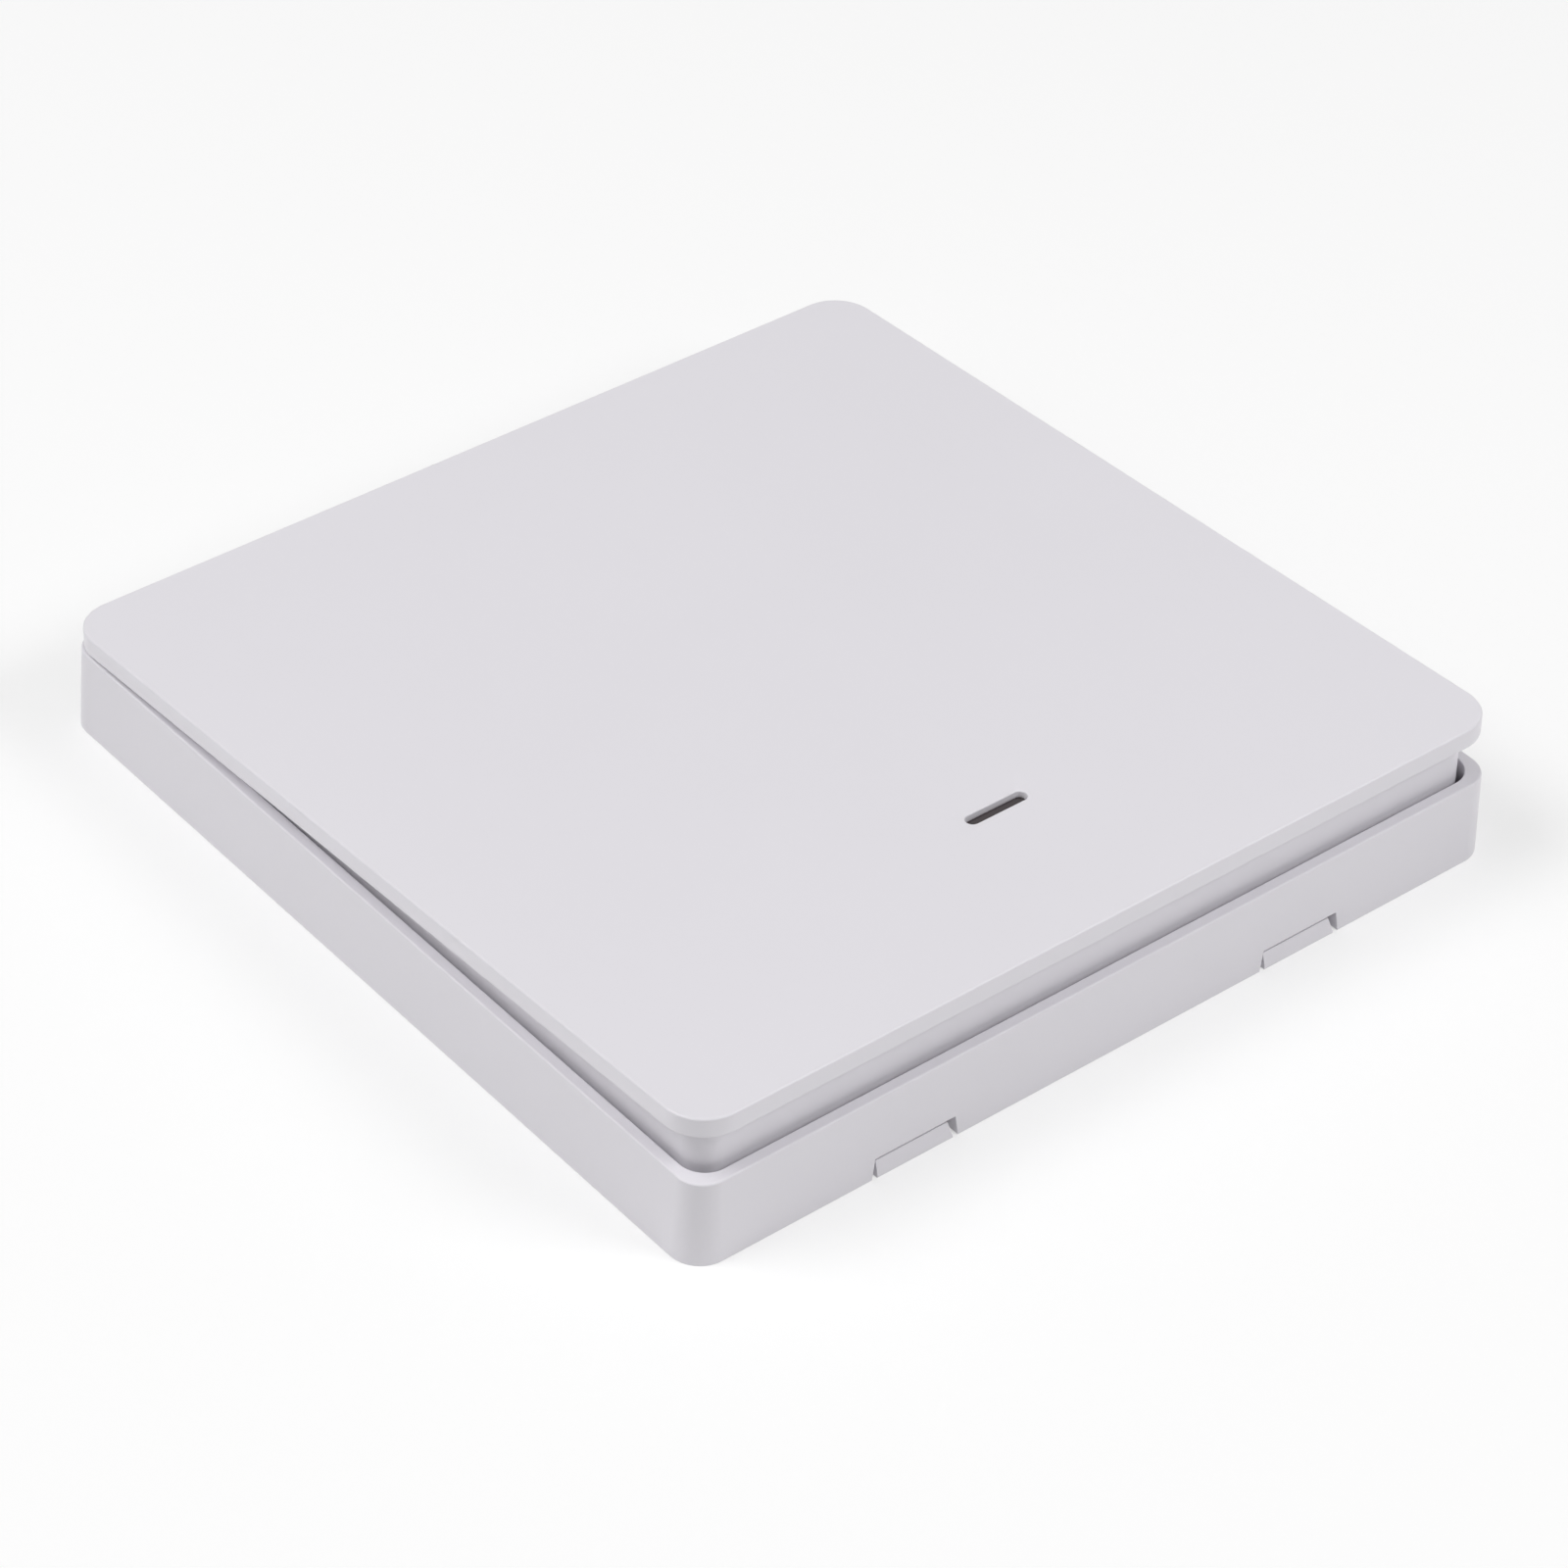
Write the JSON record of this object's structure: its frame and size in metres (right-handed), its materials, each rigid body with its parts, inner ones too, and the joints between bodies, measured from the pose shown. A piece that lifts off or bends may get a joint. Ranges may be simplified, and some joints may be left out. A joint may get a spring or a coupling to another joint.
{
  "type": "wireless remote wall switch",
  "caption": "Square surface-mounted wireless wall switch with one large rocker hinged near its upper edge, raised at its lower edge over a thin surround.",
  "frame": {"origin": "middle of the back face, where it lies on the wall", "axes": "+Z out of the wall, +Y up the wall towards the rocker's hinge, +X to the right seen from the room"},
  "size_m": [0.086, 0.086, 0.0142],
  "materials": {
    "surround_plastic": "fine satin moulded white",
    "plate_plastic": "fine satin moulded white",
    "chassis_plastic": "plain moulded white",
    "cap_plastic": "fine satin moulded white",
    "carrier_plastic": "plain moulded white",
    "lens_plastic": "smoked, glossy",
    "clear_plastic": "clear moulded",
    "board_laminate": "green solder mask",
    "black_plastic": "moulded black",
    "tin_plate": "tinned sheet",
    "cell_steel": "plated can",
    "contact_metal": "plated spring sheet",
    "led_plastic": "diffusing",
    "crystal_metal": "drawn can",
    "capacitor_body": "ceramic",
    "resistor_body": "ceramic",
    "antenna_wire": "tinned copper",
    "spring_wire": "drawn spring wire",
    "screw_steel": "zinc plated",
    "pad_rubber": "soft matt"
  },
  "bodies": {
    "base": {"surround_frame": "surround_plastic", "back_plate": "plate_plastic", "chassis": "chassis_plastic", "light_pipe": "clear_plastic", "circuit_board": "board_laminate", "switch_base": "black_plastic", "switch_cover": "tin_plate", "coin_cell": "cell_steel", "cell_clip": "contact_metal", "cell_contact": "contact_metal", "indicator_led": "led_plastic", "transmitter_chip": "black_plastic", "crystal_can": "crystal_metal", "chip_capacitors": "capacitor_body", "chip_resistors": "resistor_body", "loop_antenna": "antenna_wire", "return_spring_left": "spring_wire", "return_spring_right": "spring_wire", "chassis_screws": "screw_steel", "landing_pads": "pad_rubber"},
    "rocker": {"rocker_cap": "cap_plastic", "rocker_carrier": "carrier_plastic", "indicator_lens": "lens_plastic"},
    "plunger": {"switch_plunger": "black_plastic"}
  },
  "joints": [
    {"name": "rocker_hinge", "type": "hinge", "parent": "base", "child": "rocker", "pos_m": [0, 0.0364, 0.0044], "axis": [1, 0, 0], "range_deg": [0, 2.7], "stiffness_Nm_per_rad": 2.9, "springref_deg": -1.15, "deforming": ["return_spring_left", "return_spring_right"]},
    {"name": "plunger_slide", "type": "slide", "parent": "base", "child": "plunger", "axis": [0, 0, -1], "range_m": [0, 0.000495]}
  ],
  "couplings": [
    {"joint": "plunger_slide", "follows": "rocker_hinge", "m_per_rad": 0.010508}
  ]
}
